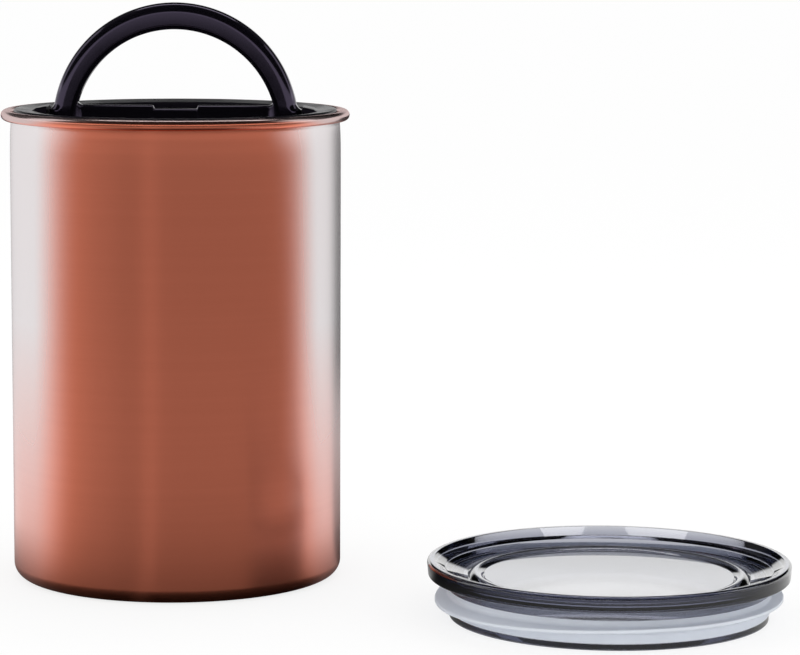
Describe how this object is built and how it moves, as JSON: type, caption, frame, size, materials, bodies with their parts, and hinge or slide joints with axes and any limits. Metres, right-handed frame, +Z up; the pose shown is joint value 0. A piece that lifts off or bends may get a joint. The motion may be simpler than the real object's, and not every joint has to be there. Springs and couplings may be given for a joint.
{
  "type": "coffee canister with valve",
  "caption": "Straight steel food canister with a rolled rim, a plunging inner lid whose folding handle works an air valve, and a clear outer lid with a finned gasket standing beside it.",
  "frame": {"origin": "middle of the canister's base, in the plane of the ring that it stands on", "axes": "+Z up along the canister; the handle's pivot lies along X; -Y is the front, and the outer lid stands to the front on the +X side"},
  "size_m": [0.2841, 0.1988, 0.2112],
  "materials": {
    "copper_coated_steel": "brushed round the body, copper-coloured clear coat",
    "deck_black": "satin moulded black",
    "handle_black": "half-gloss moulded black",
    "seal_silicone": "matt black silicone",
    "pin_steel": "bright steel",
    "valve_grey": "satin moulded dark grey",
    "smoke_clear": "clear smoke-grey plastic, polished",
    "gasket_silicone": "frosted translucent silicone"
  },
  "bodies": {
    "canister": {"canister_shell": "copper_coated_steel"},
    "plunger": {"plunger_deck": "deck_black", "plunger_underplate": "deck_black", "wiper_seal": "seal_silicone", "pivot_pin_left": "pin_steel", "pivot_pin_right": "pin_steel", "valve_spring": "pin_steel"},
    "handle": {"handle": "handle_black"},
    "valve": {"valve_poppet": "valve_grey", "valve_washer": "seal_silicone", "valve_clip": "pin_steel"},
    "outer_lid": {"outer_lid": "smoke_clear", "lid_gasket": "gasket_silicone"}
  },
  "joints": [
    {"name": "plunger_slide", "type": "slide", "parent": "canister", "child": "plunger", "axis": [0, 0, 1], "range_m": [-0.138, 0.1]},
    {"name": "handle_fold", "type": "hinge", "parent": "plunger", "child": "handle", "pos_m": [0, 0, 0.1669], "axis": [-1, 0, 0], "range_deg": [0, 90]},
    {"name": "valve_slide", "type": "slide", "parent": "plunger", "child": "valve", "axis": [0, 0, 1], "range_m": [-0.0016, 0], "deforming": ["valve_spring"]},
    {"name": "lid_lift", "type": "slide", "parent": "canister", "child": "outer_lid", "axis": [0, 0, 1], "range_m": [0, 0.25]}
  ],
  "couplings": [
    {"joint": "valve_slide", "follows": "handle_fold", "m_per_rad": -0.001018}
  ]
}
